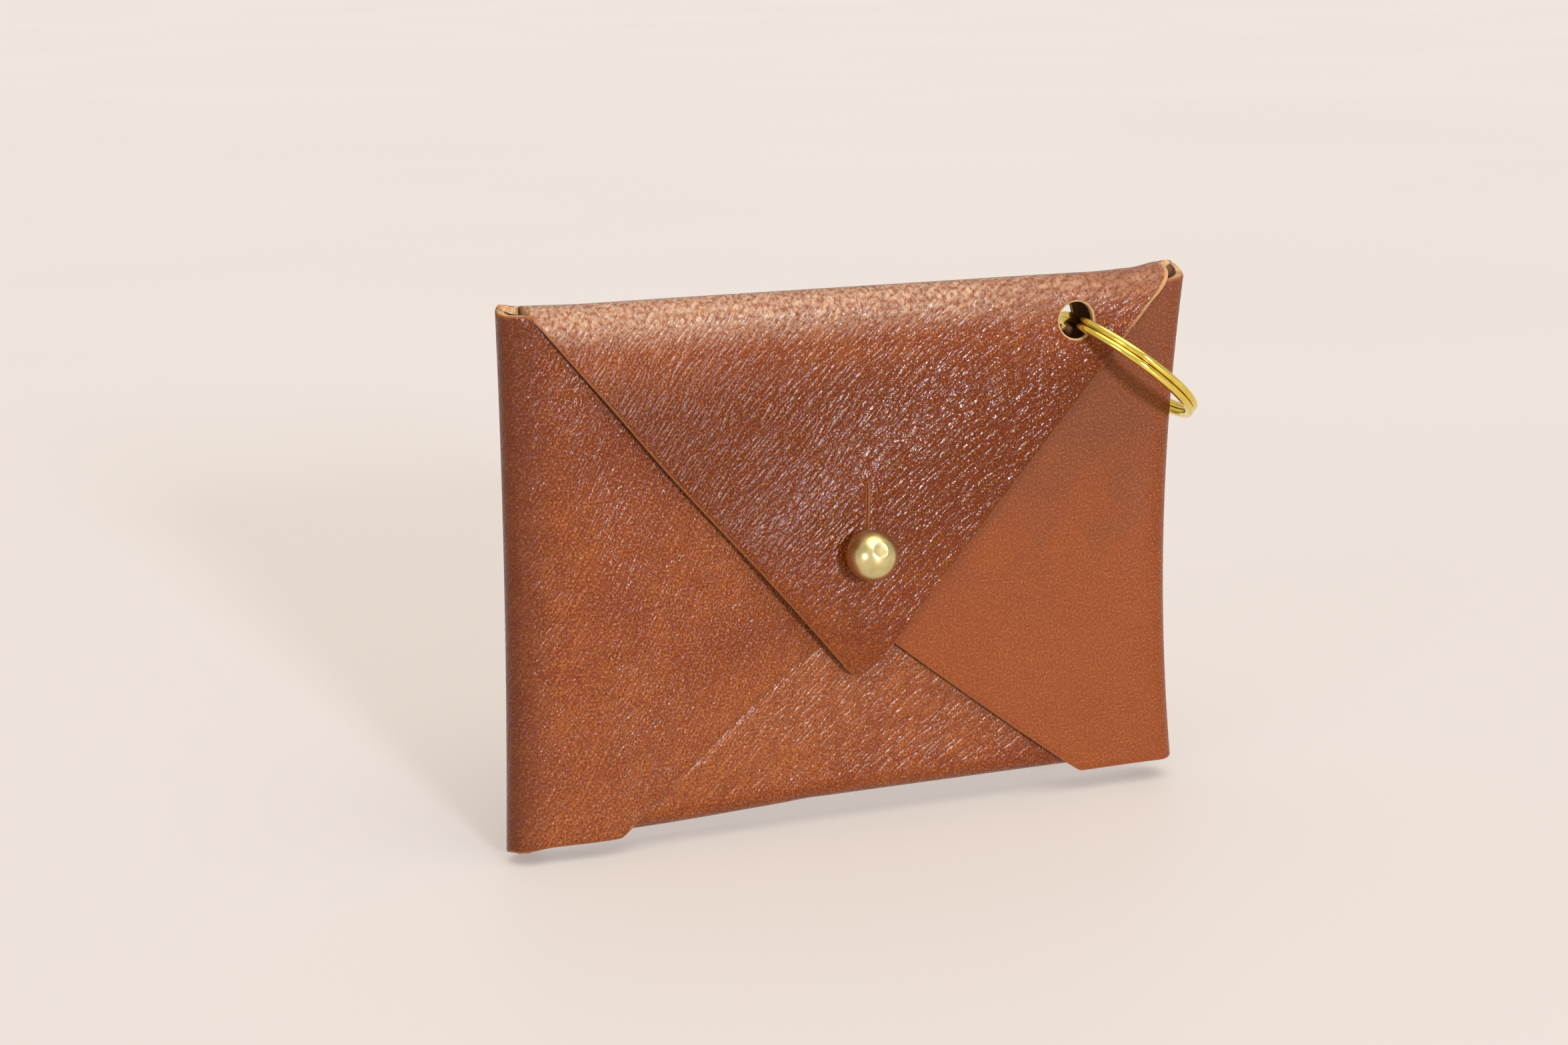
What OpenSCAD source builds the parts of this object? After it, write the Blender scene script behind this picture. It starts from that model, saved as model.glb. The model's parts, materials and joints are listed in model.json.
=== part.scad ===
// Envelope card holder folded from one leather blank, closed by a ball stud, with a split key ring.
// Millimetres. X runs along the width, Z is up, the front with the stud faces -Y.

/* [Leather] */
// thickness of the leather
leather_t = 1.2; // [0.8:0.1:1.6]
// width over the two side folds
holder_w = 104.1; // [98:0.1:112]
// height of the bottom fold above the table
fold_lift = 3.3; // [1:0.1:4]
// height of the top fold's crest above the table
crest_z = 78.7; // [72:0.1:84]
// height of the side folds' top ends above the table
ear_z = 79.5; // [73:0.1:85]
// clear depth of the card pocket
pocket_gap = 4.4; // [4.2:0.1:6]
// gap between layers that only lie on each other
lay_gap = 0.1; // [0.05:0.05:0.3]
// gap between the top flap and the flaps under it
flap_gap = 0.3; // [0.2:0.05:0.6]
// gap between the top and bottom folds and the side folds
end_gap = 0.15; // [0.1:0.05:0.5]

/* [Side flaps] */
// height of the left flap's bottom edge
left_foot_z = 2.4; // [1:0.05:4]
// height of the right flap's bottom edge
right_foot_z = 3.25; // [1:0.05:4]
// where the left flap's bottom edge turns up
left_turn_x = -39.3; // [-44:0.1:-34]
// where the right flap's bottom edge turns up
right_turn_x = 34.2; // [30:0.1:40]
// corner radius of the left flap's turn
left_turn_r = 5; // [2:0.5:6]
// corner radius of the right flap's turn
right_turn_r = 3; // [2:0.5:6]
// point of the left flap, across
left_point_x = 11; // [6:0.5:16]
// point of the right flap, across
right_point_x = -14; // [-20:0.5:-8]
// height of the side flaps' points
point_z = 40.7; // [36:0.1:44]
// radius of the side flaps' points
point_r = 5; // [3:0.5:8]
// height where the left flap's upper edge leaves its fold
left_brow_z = 75.9; // [70:0.1:76]
// height where the right flap's upper edge leaves its fold
right_brow_z = 73.7; // [68:0.1:74]

/* [Bottom flap] */
// height of the bottom flap's point
bottom_point_z = 52; // [48:0.5:56]
// radius of the bottom flap's point
bottom_point_r = 6; // [4:0.5:9]

/* [Top flap] */
// sharp corner where the top flap's edges would meet, across
tip_x = -1; // [-4:0.1:1]
// sharp corner where the top flap's edges would meet, height
tip_z = 21.3; // [18:0.1:26]
// radius of the tip
tip_r = 2.7; // [1.5:0.1:4]
// slope of the left edge from horizontal
left_edge_deg = 49.9; // [46:0.1:54]
// slope of the right edge from horizontal
right_edge_deg = 48.5; // [44:0.1:52]
// height of the line where the flap bends up, under the key ring
bend_z = 62; // [56:0.5:65]
// gap at the bend line
bend_gap = 0.6; // [0.4:0.1:1]
// height of the top of the slit over the buttonhole
slit_top_z = 51.2; // [48:0.1:54]
// width of the slit
slit_w = 0.5; // [0.3:0.1:0.8]

/* [Stud] */
// ball diameter
ball_d = 7.4; // [6:0.1:8]
// stud axis, across
stud_x = -0.9; // [-4:0.1:2]
// stud axis, height
stud_z = 40.5; // [37:0.1:43]
// neck diameter
neck_d = 3.4; // [2.6:0.1:4]
// flange diameter
flange_d = 6.8; // [6:0.1:7]
// flange thickness
flange_t = 0.7; // [0.5:0.1:1]
// free length of the neck
neck_l = 2; // [1.5:0.1:3]
// flat on the front of the ball, diameter
pole_d = 2.2; // [1.5:0.1:3]
// screw head diameter
screw_d = 8; // [7:0.1:10]
// screw head thickness
screw_t = 0.7; // [0.5:0.1:0.9]
// screw shank diameter
shank_d = 3.6; // [3:0.1:4]
// slot width in the screw head
slot_w = 1; // [0.8:0.1:1.4]
// slot depth in the screw head
slot_d = 0.4; // [0.3:0.05:0.6]
// radial clearance of the buttonhole round the ball
button_clear = 0.4; // [0.3:0.1:0.8]

/* [Key ring] */
// outer diameter of the ring
ring_d = 25; // [20:1:28]
// strand diameter
strand_d = 1.1; // [0.9:0.05:1.3]
// distance between the two strands' centres
strand_pitch = 0.94; // [0.8:0.02:1.05]
// punched hole diameter
hole_d = 5.4; // [5:0.1:6]
// punched hole, across
hole_x = 33.9; // [30:0.1:37]
// punched hole, height
hole_z = 72.3; // [69:0.1:74]
// how far below horizontal the ring hangs
hang_deg = 38.5; // [30:0.5:45]
// distance from the hole's axis to the ring's centre
ring_reach = 12.4; // [11.4:0.05:12.4]

/* [Hidden] */
$fn = 96;
eps = 0.01;

leather_col = [0.55, 0.29, 0.17];
brass_col = [0.85, 0.68, 0.30];

// levels along Y
back_in = pocket_gap / 2;
back_out = back_in + leather_t;
bottom_in = -pocket_gap / 2;
bottom_out = bottom_in - leather_t;
left_in = bottom_out - lay_gap;
left_out = left_in - leather_t;
right_in = left_out - lay_gap;
right_out = right_in - leather_t;
top_in = right_out - flap_gap;
top_out = top_in - leather_t;

// fold radii and centres
left_r = (back_out - left_out) / 2;
left_cy = (back_out + left_out) / 2;
right_r = (back_out - right_out) / 2;
right_cy = (back_out + right_out) / 2;
left_edge_x = -52.5;
right_edge_x = left_edge_x + holder_w;
left_cx = left_edge_x + left_r;
right_cx = right_edge_x - right_r;
bottom_r = back_out;
bottom_cz = fold_lift + bottom_r;
top_r = (back_out - top_out) / 2;
top_cy = (back_out + top_out) / 2;
top_cz = crest_z - top_r;
span_l = left_cx + end_gap;
span_r = right_cx - end_gap;
yoke_z = hole_z - hole_d;

// ring
ring_rc = ring_d / 2 - strand_d / 2;
ring_cx = hole_x + ring_reach * cos(hang_deg);
ring_cz = hole_z - ring_reach * sin(hang_deg);
ring_cy = top_cy;

// stud
ball_r = ball_d / 2;
neck_y = right_out - flange_t - neck_l;
ball_cy = neck_y - sqrt(ball_r * ball_r - neck_d * neck_d / 4);
pole_y = ball_cy - sqrt(ball_r * ball_r - pole_d * pole_d / 4);
button_r = ball_r + button_clear;
button_z = stud_z - 0.3;

// the row's origin is at the middle of the bottom of everything
reach_x = ring_cx + ring_rc * cos(hang_deg) + strand_d / 2 + strand_pitch / 2 * sin(hang_deg);
mid_x = (left_edge_x + max(right_edge_x, reach_x)) / 2;
mid_y = (ring_cy + ring_d / 2 + pole_y) / 2;

function unit(v) = v / norm(v);
function half_deg(a, p, q) = acos(unit(p - a) * unit(q - a)) / 2;
// where a circle of radius r touches the edge from a to p, in the corner p-a-q
function touch(a, p, q, r) = a + unit(p - a) * r / tan(half_deg(a, p, q));
// the centre of that circle
function corner_c(a, p, q, r) = a + unit(unit(p - a) + unit(q - a)) * r / sin(half_deg(a, p, q));
// the top flap's edges
function edge_l(z) = tip_x - (z - tip_z) / tan(left_edge_deg);
function edge_r(z) = tip_x + (z - tip_z) / tan(right_edge_deg);

module placed() {
    translate([-mid_x, -mid_y, 0])
        children();
}

// an upright sheet drawn in X and Z, from y towards the front
module sheet(y, t) {
    translate([0, y, 0])
        rotate([90, 0, 0])
            linear_extrude(height = t)
                children();
}

// the disc stands a hair proud, so it crosses the edges cleanly instead of grazing them
module disc_at(c, r) {
    translate(c)
        circle(r = r + eps);
}

// half of a ring of leather, open towards +X
module bend(r) {
    difference() {
        circle(r = r);
        circle(r = r - leather_t);
        translate([0, -r - eps])
            square([r + 2 * eps, 2 * r + 2 * eps]);
    }
}

// a hole along Y
module bore(x, z, d) {
    translate([x, top_out - 1, z])
        rotate([-90, 0, 0])
            cylinder(h = back_out - top_out + 2, d = d);
}

module back_panel() {
    color(leather_col)
        placed()
            translate([left_cx, back_in, bottom_cz])
                cube([right_cx - left_cx, leather_t, yoke_z - bottom_cz]);
}

module left_fold() {
    color(leather_col)
        placed()
            translate([left_cx, left_cy, 0])
                linear_extrude(height = ear_z)
                    bend(left_r);
}

module right_fold() {
    color(leather_col)
        placed()
            translate([right_cx, right_cy, 0])
                linear_extrude(height = ear_z)
                    mirror([1, 0])
                        bend(right_r);
}

module left_flap() {
    brow = [left_cx, left_brow_z];
    foot = [left_cx, left_foot_z];
    turn = [left_turn_x, left_foot_z];
    point = [left_point_x, point_z];
    color(leather_col)
        placed()
            difference() {
                sheet(left_in, leather_t) {
                    polygon([foot, touch(turn, foot, point, left_turn_r), touch(turn, point, foot, left_turn_r),
                        touch(point, turn, brow, point_r), touch(point, brow, turn, point_r), brow]);
                    disc_at(corner_c(point, brow, turn, point_r), point_r);
                    disc_at(corner_c(turn, point, foot, left_turn_r), left_turn_r);
                }
                bore(stud_x, stud_z, shank_d);
            }
}

module right_flap() {
    brow = [right_cx, right_brow_z];
    foot = [right_cx, right_foot_z];
    turn = [right_turn_x, right_foot_z];
    point = [right_point_x, point_z];
    color(leather_col)
        placed()
            difference() {
                sheet(right_in, leather_t) {
                    polygon([brow, touch(point, brow, turn, point_r), touch(point, turn, brow, point_r),
                        touch(turn, point, foot, right_turn_r), touch(turn, foot, point, right_turn_r), foot]);
                    disc_at(corner_c(point, brow, turn, point_r), point_r);
                    disc_at(corner_c(turn, point, foot, right_turn_r), right_turn_r);
                }
                bore(stud_x, stud_z, shank_d);
            }
}

module bottom_fold() {
    color(leather_col)
        placed()
            translate([span_l, 0, bottom_cz])
                rotate([90, 90, 90])
                    linear_extrude(height = span_r - span_l)
                        mirror([1, 0])
                            bend(bottom_r);
}

module bottom_flap() {
    heel_l = [span_l + leather_t, bottom_cz];
    heel_r = [span_r - leather_t, bottom_cz];
    point = [stud_x, bottom_point_z];
    color(leather_col)
        placed()
            difference() {
                sheet(bottom_in, leather_t) {
                    polygon([heel_r, touch(point, heel_r, heel_l, bottom_point_r),
                        touch(point, heel_l, heel_r, bottom_point_r), heel_l]);
                    disc_at(corner_c(point, heel_l, heel_r, bottom_point_r), bottom_point_r);
                }
                bore(stud_x, stud_z, shank_d);
                // the screw head sits in the leather, flush with the pocket
                translate([stud_x, bottom_in - screw_t, stud_z])
                    rotate([-90, 0, 0])
                        cylinder(h = screw_t + 1, d = screw_d);
            }
}

// the fold over the top, with the yoke under it that the ring holds together
module top_fold() {
    hem_z = bend_z + bend_gap / 2;
    color(leather_col)
        placed()
            difference() {
                union() {
                    translate([left_cx, back_in, yoke_z])
                        cube([right_cx - left_cx, leather_t, hole_z - yoke_z]);
                    translate([span_l, back_in, hole_z])
                        cube([span_r - span_l, leather_t, top_cz - hole_z]);
                    intersection() {
                        translate([span_l, top_cy, top_cz])
                            rotate([90, -90, 90])
                                linear_extrude(height = span_r - span_l)
                                    mirror([1, 0])
                                        bend(top_r);
                        translate([span_l, top_cy, top_cz])
                            cube([span_r - span_l, top_r + 1, top_r + 1]);
                    }
                    intersection() {
                        union() {
                            translate([span_l, top_cy, top_cz])
                                rotate([90, -90, 90])
                                    linear_extrude(height = span_r - span_l)
                                        mirror([1, 0])
                                            bend(top_r);
                            translate([span_l, top_out, hem_z])
                                cube([span_r - span_l, leather_t, top_cz - hem_z]);
                        }
                        sheet(top_cy, top_r + 1)
                            polygon([[edge_l(hem_z), hem_z], [edge_l(crest_z + 2), crest_z + 2],
                                [edge_r(crest_z + 2), crest_z + 2], [edge_r(hem_z), hem_z]]);
                    }
                }
                bore(hole_x, hole_z, hole_d);
            }
}

module top_flap() {
    hem_z = bend_z - bend_gap / 2;
    hem_l = [edge_l(hem_z), hem_z];
    hem_r = [edge_r(hem_z), hem_z];
    tip = [tip_x, tip_z];
    color(leather_col)
        placed()
            difference() {
                sheet(top_in, leather_t) {
                    polygon([hem_l, touch(tip, hem_l, hem_r, tip_r), touch(tip, hem_r, hem_l, tip_r), hem_r]);
                    disc_at(corner_c(tip, hem_l, hem_r, tip_r), tip_r);
                }
                bore(stud_x, button_z, 2 * button_r);
                translate([stud_x - slit_w / 2, top_out - 1, button_z])
                    cube([slit_w, leather_t + 2, slit_top_z - button_z]);
            }
}

module stud_head() {
    color(brass_col)
        placed()
            translate([stud_x, 0, stud_z])
                intersection() {
                    union() {
                        translate([0, right_out, 0])
                            rotate([90, 0, 0])
                                cylinder(h = flange_t, d = flange_d);
                        translate([0, right_out, 0])
                            rotate([90, 0, 0])
                                cylinder(h = right_out - ball_cy, d = neck_d);
                        translate([0, ball_cy, 0])
                            sphere(d = ball_d);
                    }
                    translate([-ball_d, pole_y, -ball_d])
                        cube([2 * ball_d, right_out - pole_y, 2 * ball_d]);
                }
}

module stud_screw() {
    color(brass_col)
        placed()
            translate([stud_x, bottom_in, stud_z])
                difference() {
                    union() {
                        rotate([90, 0, 0])
                            cylinder(h = screw_t, d = screw_d);
                        rotate([90, 0, 0])
                            cylinder(h = bottom_in - right_out, d = shank_d);
                    }
                    translate([-screw_d, -slot_d, -slot_w / 2])
                        cube([2 * screw_d, slot_d + 1, slot_w]);
                }
}

module key_ring() {
    color(brass_col)
        placed()
            translate([ring_cx, ring_cy, ring_cz])
                rotate([0, hang_deg, 0])
                    rotate_extrude() {
                        translate([ring_rc, strand_pitch / 2])
                            circle(d = strand_d);
                        translate([ring_rc, -strand_pitch / 2])
                            circle(d = strand_d);
                    }
}

back_panel();
left_fold();
left_flap();
right_fold();
right_flap();
bottom_fold();
bottom_flap();
top_fold();
top_flap();
stud_head();
stud_screw();
key_ring();
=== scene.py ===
"""Looks of the envelope card holder: one folded leather blank, a ball stud with its screw, a split ring.

Shapes are worked out in millimetres of the holder's own drawing: X across, Y depth with the front
negative, Z up. placed() turns them into the frame's metres. The blank is drawn flat, as it was cut:
u runs across and v up the back panel, and both run on round the folds into the flaps.
"""

import json
import math
from types import SimpleNamespace

import bmesh
import bpy
import numpy as np
from mathutils import Matrix, Vector, kdtree
from mathutils.geometry import delaunay_2d_cdt


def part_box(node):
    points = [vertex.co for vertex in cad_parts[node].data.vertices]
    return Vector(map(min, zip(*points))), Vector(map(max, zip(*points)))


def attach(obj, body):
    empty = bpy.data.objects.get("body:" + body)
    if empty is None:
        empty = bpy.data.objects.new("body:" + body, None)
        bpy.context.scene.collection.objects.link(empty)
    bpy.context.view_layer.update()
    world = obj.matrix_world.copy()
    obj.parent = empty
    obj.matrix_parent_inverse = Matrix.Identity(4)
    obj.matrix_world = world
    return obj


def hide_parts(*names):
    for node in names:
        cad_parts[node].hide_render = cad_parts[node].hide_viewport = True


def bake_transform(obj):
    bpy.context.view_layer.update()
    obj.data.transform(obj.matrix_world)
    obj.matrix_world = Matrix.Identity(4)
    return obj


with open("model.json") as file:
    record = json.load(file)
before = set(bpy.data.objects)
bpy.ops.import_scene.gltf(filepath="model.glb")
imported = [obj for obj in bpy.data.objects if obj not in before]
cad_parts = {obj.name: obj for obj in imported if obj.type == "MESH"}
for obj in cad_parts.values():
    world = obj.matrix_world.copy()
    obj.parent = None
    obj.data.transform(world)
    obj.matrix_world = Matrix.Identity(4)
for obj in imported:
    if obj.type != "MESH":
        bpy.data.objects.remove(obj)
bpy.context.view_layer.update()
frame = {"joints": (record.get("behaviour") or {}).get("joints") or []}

MM = 0.001


def in_mm(node, corner):
    """The lowest (0) or highest (1) corner of a CAD node, in millimetres of the frame."""
    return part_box(node)[corner] / MM


# ---------------------------------------------------------------- driving dimensions, millimetres
LEFT_EDGE = -52.5       # the drawing's X of the left fold's outer face
BACK_FACE = 3.4         # the drawing's Y of the back panel's outer face
PRESSED = 1.3           # the pressed leather stack is this much further forward than the solids' back
ORIGIN = Vector((in_mm("left_fold", 0).x - LEFT_EDGE, in_mm("back_panel", 1).y - BACK_FACE - PRESSED, 0))

LEATHER = 1.15          # thickness of the leather
ARRIS = 0.24            # how far the grain side rounds off at a cut edge
CELL = 0.8              # distance between the points inside the leather
EDGE_STEP = 0.4         # distance between the points along a cut edge
RIM_ROWS = (0.13, 0.36) # distances of the two rows of points beside a cut edge
SHANK_R = 1.8           # radius of the stud's screw

JOINTS = {j["name"]: j for j in frame["joints"]}
HOLE = Vector(JOINTS["ring_swing"]["pos_m"]) / MM - ORIGIN
HOLE_R = 2.65
STUD = (in_mm("stud_head", 0) + in_mm("stud_head", 1)) / 2 - ORIGIN
RING = (in_mm("key_ring", 0) + in_mm("key_ring", 1)) / 2 - ORIGIN
RING_R = (in_mm("key_ring", 1).y - in_mm("key_ring", 0).y) / 2


def placed(points):
    """Points of the drawing in the frame's metres."""
    return (np.asarray(points, float) + np.array(ORIGIN)) * MM


def smooth(low, high, x):
    """0 below low, 1 above high and an even S between them."""
    t = np.clip((np.asarray(x, float) - low) / (high - low), 0, 1)
    return t * t * (3 - 2 * t)


def hump(x, middle, width):
    return np.exp(-(((x - middle) / width) ** 2))


# ---------------------------------------------------------------- folds
LEFT_R, RIGHT_R = 3.3, 3.6              # outer radii of the side folds
LEFT_MID, RIGHT_MID = LEFT_R - LEATHER / 2, RIGHT_R - LEATHER / 2
LEFT_FRONT, RIGHT_FRONT = BACK_FACE - 2 * LEFT_R, BACK_FACE - 2 * RIGHT_R


def left_centre(z):
    """X of the left fold's centre line, which bows out a little towards its ends."""
    return -52.2 - 0.3 * ((z - 60) / 30) ** 2 + LEFT_R


def right_centre(z):
    """X of the right fold's centre line: the right side is waisted."""
    return 50.6 + 2.3 * ((z - 38) / 38) ** 2 - RIGHT_R


def bottom_radius(x):
    """The bottom fold is flatter where the side flaps press on it."""
    return 2.9 - 0.5 * smooth(34, 42, -x) - 0.2 * smooth(38, 46, x)


def bottom_centre(x):
    return 3.55 - 0.95 * smooth(0, 36, -x) + 0.12 * hump(x, -8, 3) + bottom_radius(x)


def top_radius(x):
    """The top fold is fatter at its ends, where it passes over the side folds."""
    return 3.3 + 0.55 * smooth(24, 49, -x) + 0.7 * smooth(24, 49, x) + 0.5 * smooth(46, 49.2, x)


def top_centre(x):
    crest = 78.75 + 0.35 * smooth(38, 47, x) + 0.7 * smooth(45, 49.3, x) + 0.25 * smooth(40, 49, -x)
    return crest - top_radius(x)


def left_flat(x, z):
    """Where a point of the left flap lies in the flat blank."""
    return 2 * left_centre(z) - math.pi * LEFT_MID - x, z


def right_flat(x, z):
    return 2 * right_centre(z) + math.pi * RIGHT_MID - x, z


def bottom_flat(x, z):
    return x, 2 * bottom_centre(x) - math.pi * (bottom_radius(x) - LEATHER / 2) - z


def top_flat(x, z):
    return x, 2 * top_centre(x) + math.pi * (top_radius(x) - LEATHER / 2) - z


# ---------------------------------------------------------------- outlines
def rounded(corners, step=EDGE_STEP):
    """A path through corners (u, v, radius), each rounded to its radius, as evenly spaced points.
    The first and last corners stay as they are."""
    points = [Vector(corners[0][:2])]
    for before, corner, after in zip(corners, corners[1:], corners[2:]):
        here = Vector(corner[:2])
        back, on = (Vector(before[:2]) - here), (Vector(after[:2]) - here)
        radius = corner[2] if len(corner) > 2 else 0
        if radius < 0.05:
            points.append(here)
            continue
        half = back.angle(on) / 2
        reach = min(radius / math.tan(half), 0.48 * back.length, 0.48 * on.length)
        start, end = here + back.normalized() * reach, here + on.normalized() * reach
        turns = max(3, int((math.pi - 2 * half) * reach * math.tan(half) / step))
        for k in range(turns + 1):
            t = k / turns
            points.append(start * (1 - t) ** 2 + here * 2 * t * (1 - t) + end * t * t)
    points.append(Vector(corners[-1][:2]))
    path = [points[0]]
    for a, b in zip(points, points[1:]):
        pieces = max(1, round((b - a).length / step))
        path += [a.lerp(b, k / pieces) for k in range(1, pieces + 1)]
    return [(p.x, p.y) for p in path]


def circle_path(centre, radius, step=EDGE_STEP):
    turns = max(20, int(2 * math.pi * radius / step))
    angles = [2 * math.pi * k / turns for k in range(turns)]
    return [(centre[0] + radius * math.cos(a), centre[1] + radius * math.sin(a)) for a in angles]


SEAM_Z = 67.6                     # the top piece and the rest of the blank are one sheet that meets here
SLIT_Z = 71.5                     # bottom of the slits between the ears and the top strip
LEFT_STRIP, RIGHT_STRIP = -49.1, 49.0
SLIT = 0.05                       # width of the slits

# the side flaps' edges as they lie on the front: corners (x, z, radius) from the top fold to the foot
LEFT_EDGE_PATH = [(-49.3, 78.0, 0), (-47.0, 77.5, 1), (-42.3, 72.0, 2), (10.5, 42.6, 5), (9.5, 38.5, 5),
                  (-5.6, 27.4, 20), (-9.7, 25.1, 20), (-18.2, 18.4, 20), (-28.3, 10.2, 20), (-37.2, 2.4, 1.8),
                  (-48, 2.4, 0)]
RIGHT_EDGE_PATH = [(49.4, 77.3, 0), (47.2, 77.2, 1), (42.4, 71.7, 2), (-13.5, 43.2, 5), (-13.5, 38.6, 5),
                   (5.0, 26.6, 20), (15.3, 18.5, 20), (33.6, 4.6, 1.6), (35.6, 3.25, 1.2), (48, 3.25, 0)]
TIP_X, TIP_Z = -1.0, 21.3         # where the top flap's edges would meet
LEFT_SLOPE, RIGHT_SLOPE = 1.186, 1.129
TIP_R = 3.0


def left_edge_x(z):
    return TIP_X - (z - TIP_Z) / LEFT_SLOPE - 0.4 * hump(z, 55, 9)


def right_edge_x(z):
    return TIP_X + (z - TIP_Z) / RIGHT_SLOPE


SEAM = rounded([(LEFT_STRIP, SLIT_Z), (LEFT_STRIP + 2.4, SEAM_Z, 2), (RIGHT_STRIP - 2.4, SEAM_Z, 2),
                (RIGHT_STRIP, SLIT_Z)])


def body_outline():
    """The cut edge of the blank without its top strip and flap, anticlockwise from the seam's left end."""
    quarter_l, quarter_r = math.pi / 2 * LEFT_MID, math.pi / 2 * RIGHT_MID
    left_foot = left_centre(2)
    right_top, right_foot = right_centre(78), right_centre(2)
    ear_l, ear_r = LEFT_STRIP - SLIT, RIGHT_STRIP + SLIT
    corners = [(LEFT_STRIP, SLIT_Z), (ear_l, SLIT_Z + 1, 1), (ear_l, 80.4, 0.8), (ear_l - 1.3, 79.75, 2),
               (ear_l - 2.9, 78.8, 2), (ear_l - 4.4, 78.15, 2), (ear_l - 6, 77.95, 2)]
    corners += [(*left_flat(x, z), r) for x, z, r in LEFT_EDGE_PATH]
    corners += [(left_foot - quarter_l * 1.2, 1.9, 2), (left_foot - quarter_l * 0.3, 0.35, 2),
                (left_foot + 0.6, 0.15, 1), (left_foot + 2.7, 0.9, 0.9), (-46.6, 7.8, 0.1)]
    corners += [(-46.3, 7.8, 0.1), (*bottom_flat(-45.6, 7.6), 1), (*bottom_flat(-41, 9.5), 2),
                (*bottom_flat(STUD.x, 49), 6), (*bottom_flat(41, 9.5), 2), (*bottom_flat(46.0, 7.6), 1),
                (46.9, 8.0, 0.1), (47.2, 8.0, 0.1)]
    corners += [(right_foot - 2.4, 1.9, 0.9), (right_foot - 0.6, 1.3, 1),
                (right_foot + quarter_r * 0.3, 1.6, 2), (right_foot + quarter_r * 1.1, 3.1, 2)]
    corners += [(*right_flat(x, z), r) for x, z, r in reversed(RIGHT_EDGE_PATH)]
    corners += [(right_top + quarter_r * 1.2, 77.9, 2), (right_top + quarter_r * 0.72, 79.1, 2),
                (right_top + quarter_r * 0.45, 79.7, 2), (ear_r + 1.4, 80.3, 2), (ear_r, 81.6, 0.8),
                (ear_r, SLIT_Z + 1, 1), (RIGHT_STRIP, SLIT_Z)]
    return rounded(corners)


def top_outline():
    """The cut edge of the top strip and the pointed flap, anticlockwise from the seam's right end."""
    def side(edge_x, limit, heights):
        return [(max(limit, edge_x(z)) if limit < 0 else min(limit, edge_x(z)), z) for z in heights]

    heights = np.linspace(77.9, TIP_Z + 6, 15)
    right = [top_flat(*p) for p in side(right_edge_x, RIGHT_STRIP, heights)]
    left = [top_flat(*p) for p in side(left_edge_x, LEFT_STRIP, reversed(heights))]
    corners = [(RIGHT_STRIP, SLIT_Z), *[(*p, 6) for p in right], (*top_flat(TIP_X, TIP_Z), TIP_R),
               *[(*p, 6) for p in left], (LEFT_STRIP, SLIT_Z)]
    return rounded(corners)


BUTTON = (-0.4, STUD.z)           # middle of the buttonhole
BUTTON_R = 2.3
SLIT_TOP = 51.2                   # top of the slit over the buttonhole
SLIT_HALF = 0.07


def slit_x(z):
    """The slit over the buttonhole runs a little off plumb."""
    return BUTTON[0] + 0.5 * smooth(BUTTON[1], SLIT_TOP, z)


def buttonhole():
    """Buttonhole and slit as one keyhole outline in the flat blank."""
    opening = math.asin(SLIT_HALF / BUTTON_R)
    turn = [math.pi / 2 + opening + (2 * math.pi - 2 * opening) * k / 40 for k in range(41)]
    path = [(BUTTON[0] + BUTTON_R * math.cos(a), BUTTON[1] + BUTTON_R * math.sin(a)) for a in turn]
    rise = np.linspace(BUTTON[1] + BUTTON_R + 0.3, SLIT_TOP, 22)
    path += [(slit_x(z) + SLIT_HALF, z) for z in rise]
    path += [(slit_x(z) - SLIT_HALF, z) for z in rise[::-1]]
    return [top_flat(x, z) for x, z in path]


# ---------------------------------------------------------------- how the layers lie on each other
GRID = 0.5
GRID_X = np.arange(-58, 58 + GRID, GRID)
GRID_Z = np.arange(-4, 86 + GRID, GRID)
MESH_X, MESH_Z = np.meshgrid(GRID_X, GRID_Z)


def inside(path, x, z):
    """Which points lie inside a closed path."""
    hit = np.zeros(np.shape(x), bool)
    for (x0, z0), (x1, z1) in zip(path, path[1:] + path[:1]):
        if z0 != z1:
            crosses = (z0 > z) != (z1 > z)
            hit ^= crosses & (x < (x1 - x0) * (z - z0) / (z1 - z0) + x0)
    return hit


def widened(height, radius):
    """Each point takes the highest value within radius."""
    reach = int(radius / GRID)
    padded = np.pad(height, reach, mode="edge")
    rows, columns = height.shape
    result = height.copy()
    for i in range(-reach, reach + 1):
        for j in range(-reach, reach + 1):
            if i * i + j * j <= reach * reach:
                part = padded[reach + i:reach + i + rows, reach + j:reach + j + columns]
                result = np.maximum(result, part)
    return result


def blurred(height, sigma):
    reach = int(3 * sigma / GRID) + 1
    weights = np.exp(-0.5 * (np.arange(-reach, reach + 1) * GRID / sigma) ** 2)
    weights /= weights.sum()
    for axis in (0, 1):
        padded = np.pad(height, [(reach, reach) if a == axis else (0, 0) for a in (0, 1)], mode="edge")
        length = height.shape[axis]
        height = sum(w * np.take(padded, range(k, k + length), axis) for k, w in enumerate(weights))
    return height


def looked_up(height, x, z):
    """A grid's value between its points."""
    i = np.clip((np.asarray(x) - GRID_X[0]) / GRID, 0, len(GRID_X) - 1.001)
    j = np.clip((np.asarray(z) - GRID_Z[0]) / GRID, 0, len(GRID_Z) - 1.001)
    i0, j0 = i.astype(int), j.astype(int)
    fi, fj = i - i0, j - j0
    low = height[j0, i0] * (1 - fi) + height[j0, i0 + 1] * fi
    high = height[j0 + 1, i0] * (1 - fi) + height[j0 + 1, i0 + 1] * fi
    return low * (1 - fj) + high * fj


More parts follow.
